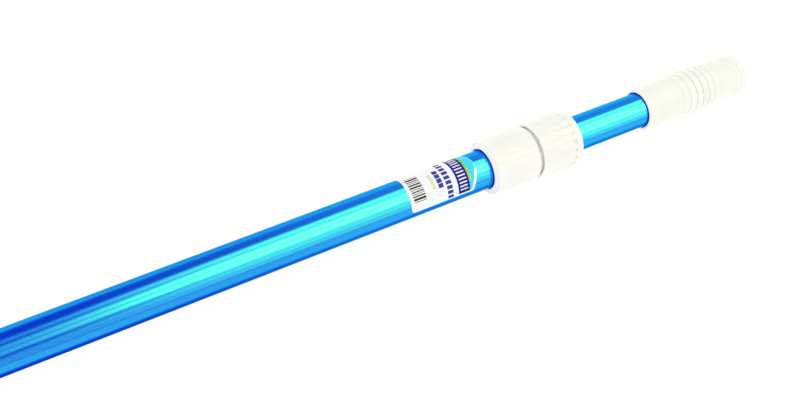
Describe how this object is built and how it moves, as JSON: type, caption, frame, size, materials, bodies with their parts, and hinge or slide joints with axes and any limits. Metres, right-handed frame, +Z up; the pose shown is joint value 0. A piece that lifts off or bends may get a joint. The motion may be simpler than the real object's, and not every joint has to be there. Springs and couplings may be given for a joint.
{
  "type": "telescopic pole with twist lock",
  "caption": "Two-section telescopic tube pole with a fluted twist-lock collar, a hand grip and an open tool end with clip holes.",
  "frame": {"origin": "centre of the tool socket's mouth, at the open end of the outer tube, on the pole's axis", "axes": "+X along the pole from the tool end to the grip, +Z up as it lies on a floor, +Y to its left"},
  "size_m": [1.231, 0.0468, 0.0468],
  "materials": {
    "blue_anodised": "bright drawn tube, clear blue anodising",
    "label_film": "printed film",
    "white_plastic": "moulded, satin",
    "grip_plastic": "moulded, satin",
    "nylon": "natural nylon",
    "dark_nylon": "moulded",
    "rubber": "smooth",
    "steel": "zinc plated"
  },
  "bodies": {
    "fixed_section": {"outer_tube": "blue_anodised", "label": "label_film", "lock_body": "white_plastic", "lock_rivets": "steel"},
    "clamp": {"collet": "nylon", "thrust_ring": "dark_nylon"},
    "nut": {"lock_nut": "white_plastic", "wiper_ring": "rubber"},
    "slider": {"stop_ring": "nylon"},
    "inner_section": {"inner_tube": "blue_anodised", "guide_plug": "nylon", "plug_pin": "steel", "grip": "grip_plastic", "grip_cap": "grip_plastic", "grip_screw": "steel"}
  },
  "joints": [
    {"name": "clamp_advance", "type": "slide", "parent": "fixed_section", "child": "clamp", "axis": [1, 0, 0], "range_m": [0, 0.00251]},
    {"name": "nut_twist", "type": "hinge", "parent": "clamp", "child": "nut", "pos_m": [1.0336, 0, 0], "axis": [1, 0, 0], "range_deg": [0, 300]},
    {"name": "extension", "type": "slide", "parent": "fixed_section", "child": "slider", "axis": [1, 0, 0], "range_m": [-0.07, 0.657]},
    {"name": "inner_turn", "type": "hinge", "parent": "slider", "child": "inner_section", "pos_m": [1.1, 0, 0], "axis": [1, 0, 0], "continuous": true}
  ],
  "couplings": [
    {"joint": "clamp_advance", "follows": "nut_twist", "m_per_rad": 0.00047746}
  ]
}
